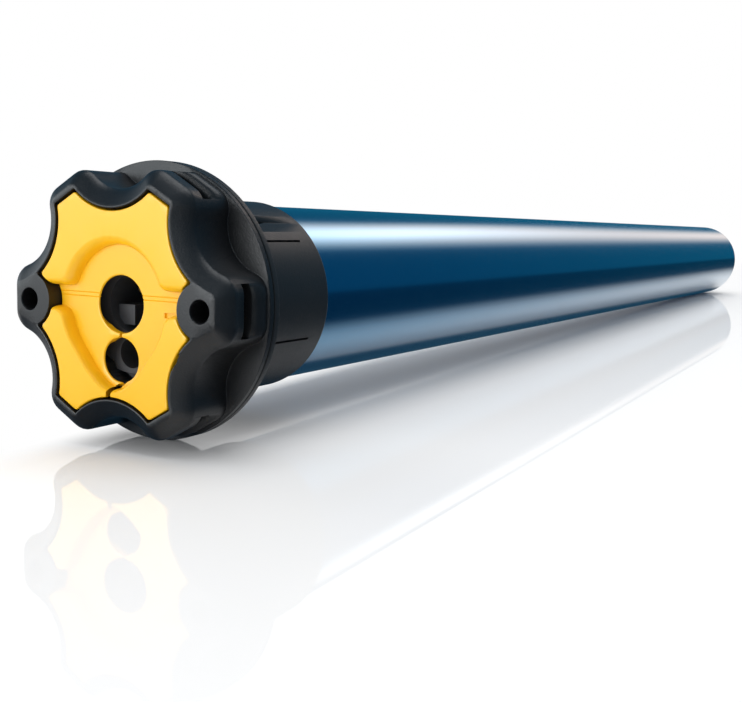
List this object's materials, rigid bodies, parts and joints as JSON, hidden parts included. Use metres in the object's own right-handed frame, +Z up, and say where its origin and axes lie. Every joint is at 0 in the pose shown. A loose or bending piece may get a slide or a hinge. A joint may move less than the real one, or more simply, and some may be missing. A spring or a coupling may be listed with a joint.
{
  "type": "tubular roller blind motor",
  "caption": "Tubular motor for a roller blind: a star-shaped fixing head with a face plate, a turning crown that counts the limits, and a long round tube with a square output spindle.",
  "frame": {"origin": "midway between the two fixing screw holes, on the head's mounting face and on the motor's axis", "axes": "+X along the tube from the head to the output spindle, Y through the two fixing screw holes, +Z up"},
  "size_m": [0.601, 0.063, 0.063],
  "materials": {
    "black_plastic": "satin",
    "crown_plastic": "satin",
    "yellow_plastic": "satin",
    "blue_paint": "gloss",
    "grey_plastic": "matte",
    "white_plastic": "matte",
    "lead_insulation": "satin",
    "steel": "satin",
    "iron_core": "matte",
    "die_cast": "satin",
    "bronze": "satin",
    "copper": "satin",
    "friction_lining": "matte"
  },
  "bodies": {
    "motor_body": {"head_housing": "black_plastic", "face_plate": "yellow_plastic", "motor_tube": "blue_paint", "tube_adapter": "grey_plastic", "socket_insert": "grey_plastic", "socket_pins": "bronze", "limit_frame": "white_plastic", "limit_spindle": "steel", "microswitch_up": "black_plastic", "microswitch_down": "black_plastic", "capacitor": "white_plastic", "capacitor_cradle": "grey_plastic", "motor_leads": "lead_insulation", "front_bell": "die_cast", "rear_bell": "die_cast", "front_bush": "bronze", "rear_bush": "bronze", "stator_core": "iron_core", "stator_winding": "copper", "brake_magnet": "iron_core", "brake_coil": "copper", "brake_spring": "steel", "brake_plate": "iron_core", "ring_gear": "steel", "output_bush": "bronze", "end_housing": "black_plastic"},
    "crown": {"crown": "crown_plastic"},
    "limit_pinion": {"limit_pinion": "white_plastic"},
    "cam_up": {"cam_wheel_up": "white_plastic"},
    "cam_down": {"cam_wheel_down": "white_plastic"},
    "lever_up": {"switch_lever_up": "steel"},
    "lever_down": {"switch_lever_down": "steel"},
    "rotor": {"rotor_core": "die_cast", "motor_shaft": "steel", "brake_disc": "friction_lining", "sun_gear": "bronze"},
    "armature": {"brake_armature": "iron_core"},
    "carrier_1": {"carrier_1": "steel"},
    "carrier_2": {"carrier_2": "steel"},
    "output": {"output_shaft": "steel", "shaft_circlip": "steel"},
    "planet_1a": {"planet_1a": "white_plastic"},
    "planet_1b": {"planet_1b": "white_plastic"},
    "planet_1c": {"planet_1c": "white_plastic"},
    "planet_2a": {"planet_2a": "steel"},
    "planet_2b": {"planet_2b": "steel"},
    "planet_2c": {"planet_2c": "steel"},
    "planet_3a": {"planet_3a": "steel"},
    "planet_3b": {"planet_3b": "steel"},
    "planet_3c": {"planet_3c": "steel"}
  },
  "joints": [
    {"name": "crown_spin", "type": "hinge", "parent": "motor_body", "child": "crown", "pos_m": [0.035, 0, 0], "axis": [1, 0, 0], "continuous": true},
    {"name": "limit_pinion_spin", "type": "hinge", "parent": "motor_body", "child": "limit_pinion", "pos_m": [0.041, 0, 0.01425], "axis": [1, 0, 0], "continuous": true},
    {"name": "cam_up_spin", "type": "hinge", "parent": "motor_body", "child": "cam_up", "pos_m": [0.0485, 0, 0], "axis": [1, 0, 0], "continuous": true},
    {"name": "cam_down_spin", "type": "hinge", "parent": "motor_body", "child": "cam_down", "pos_m": [0.0555, 0, 0], "axis": [1, 0, 0], "continuous": true},
    {"name": "lever_up_press", "type": "hinge", "parent": "motor_body", "child": "lever_up", "pos_m": [0.05, -0.0042, -0.01075], "axis": [-1, 0, 0], "range_deg": [0, 3], "stiffness_Nm_per_rad": 0.02, "springref_deg": -5.73},
    {"name": "lever_down_press", "type": "hinge", "parent": "motor_body", "child": "lever_down", "pos_m": [0.057, -0.0042, -0.01075], "axis": [-1, 0, 0], "range_deg": [0, 3], "stiffness_Nm_per_rad": 0.02, "springref_deg": -5.73},
    {"name": "rotor_spin", "type": "hinge", "parent": "motor_body", "child": "rotor", "pos_m": [0.35, 0, 0], "axis": [1, 0, 0], "continuous": true},
    {"name": "brake_release", "type": "slide", "parent": "motor_body", "child": "armature", "axis": [-1, 0, 0], "range_m": [0, 0.0004], "stiffness_N_per_m": 2000, "springref_m": -0.005},
    {"name": "carrier_1_spin", "type": "hinge", "parent": "motor_body", "child": "carrier_1", "pos_m": [0.4813, 0, 0], "axis": [1, 0, 0], "continuous": true},
    {"name": "carrier_2_spin", "type": "hinge", "parent": "motor_body", "child": "carrier_2", "pos_m": [0.5083, 0, 0], "axis": [1, 0, 0], "continuous": true},
    {"name": "output_spin", "type": "hinge", "parent": "motor_body", "child": "output", "pos_m": [0.5463, 0, 0], "axis": [1, 0, 0], "continuous": true},
    {"name": "planet_1a_spin", "type": "hinge", "parent": "carrier_1", "child": "planet_1a", "pos_m": [0.4693, 0.01125, 0], "axis": [1, 0, 0], "continuous": true},
    {"name": "planet_1b_spin", "type": "hinge", "parent": "carrier_1", "child": "planet_1b", "pos_m": [0.4693, -0.00562, 0.00974], "axis": [1, 0, 0], "continuous": true},
    {"name": "planet_1c_spin", "type": "hinge", "parent": "carrier_1", "child": "planet_1c", "pos_m": [0.4693, -0.00562, -0.00974], "axis": [1, 0, 0], "continuous": true},
    {"name": "planet_2a_spin", "type": "hinge", "parent": "carrier_2", "child": "planet_2a", "pos_m": [0.4938, 0.01125, 0], "axis": [1, 0, 0], "continuous": true},
    {"name": "planet_2b_spin", "type": "hinge", "parent": "carrier_2", "child": "planet_2b", "pos_m": [0.4938, -0.00562, 0.00974], "axis": [1, 0, 0], "continuous": true},
    {"name": "planet_2c_spin", "type": "hinge", "parent": "carrier_2", "child": "planet_2c", "pos_m": [0.4938, -0.00562, -0.00974], "axis": [1, 0, 0], "continuous": true},
    {"name": "planet_3a_spin", "type": "hinge", "parent": "output", "child": "planet_3a", "pos_m": [0.5248, 0.01125, 0], "axis": [1, 0, 0], "continuous": true},
    {"name": "planet_3b_spin", "type": "hinge", "parent": "output", "child": "planet_3b", "pos_m": [0.5248, -0.00562, 0.00974], "axis": [1, 0, 0], "continuous": true},
    {"name": "planet_3c_spin", "type": "hinge", "parent": "output", "child": "planet_3c", "pos_m": [0.5248, -0.00562, -0.00974], "axis": [1, 0, 0], "continuous": true}
  ],
  "couplings": [
    {"joint": "limit_pinion_spin", "follows": "crown_spin", "ratio": 3.7143},
    {"joint": "cam_up_spin", "follows": "crown_spin", "ratio": -1.3265},
    {"joint": "cam_down_spin", "follows": "crown_spin", "ratio": -1.3265},
    {"joint": "carrier_1_spin", "follows": "rotor_spin", "ratio": 0.2},
    {"joint": "carrier_2_spin", "follows": "rotor_spin", "ratio": 0.04},
    {"joint": "output_spin", "follows": "rotor_spin", "ratio": 0.008},
    {"joint": "planet_1a_spin", "follows": "rotor_spin", "ratio": -0.53333},
    {"joint": "planet_1b_spin", "follows": "rotor_spin", "ratio": -0.53333},
    {"joint": "planet_1c_spin", "follows": "rotor_spin", "ratio": -0.53333},
    {"joint": "planet_2a_spin", "follows": "rotor_spin", "ratio": -0.10667},
    {"joint": "planet_2b_spin", "follows": "rotor_spin", "ratio": -0.10667},
    {"joint": "planet_2c_spin", "follows": "rotor_spin", "ratio": -0.10667},
    {"joint": "planet_3a_spin", "follows": "rotor_spin", "ratio": -0.021333},
    {"joint": "planet_3b_spin", "follows": "rotor_spin", "ratio": -0.021333},
    {"joint": "planet_3c_spin", "follows": "rotor_spin", "ratio": -0.021333}
  ]
}
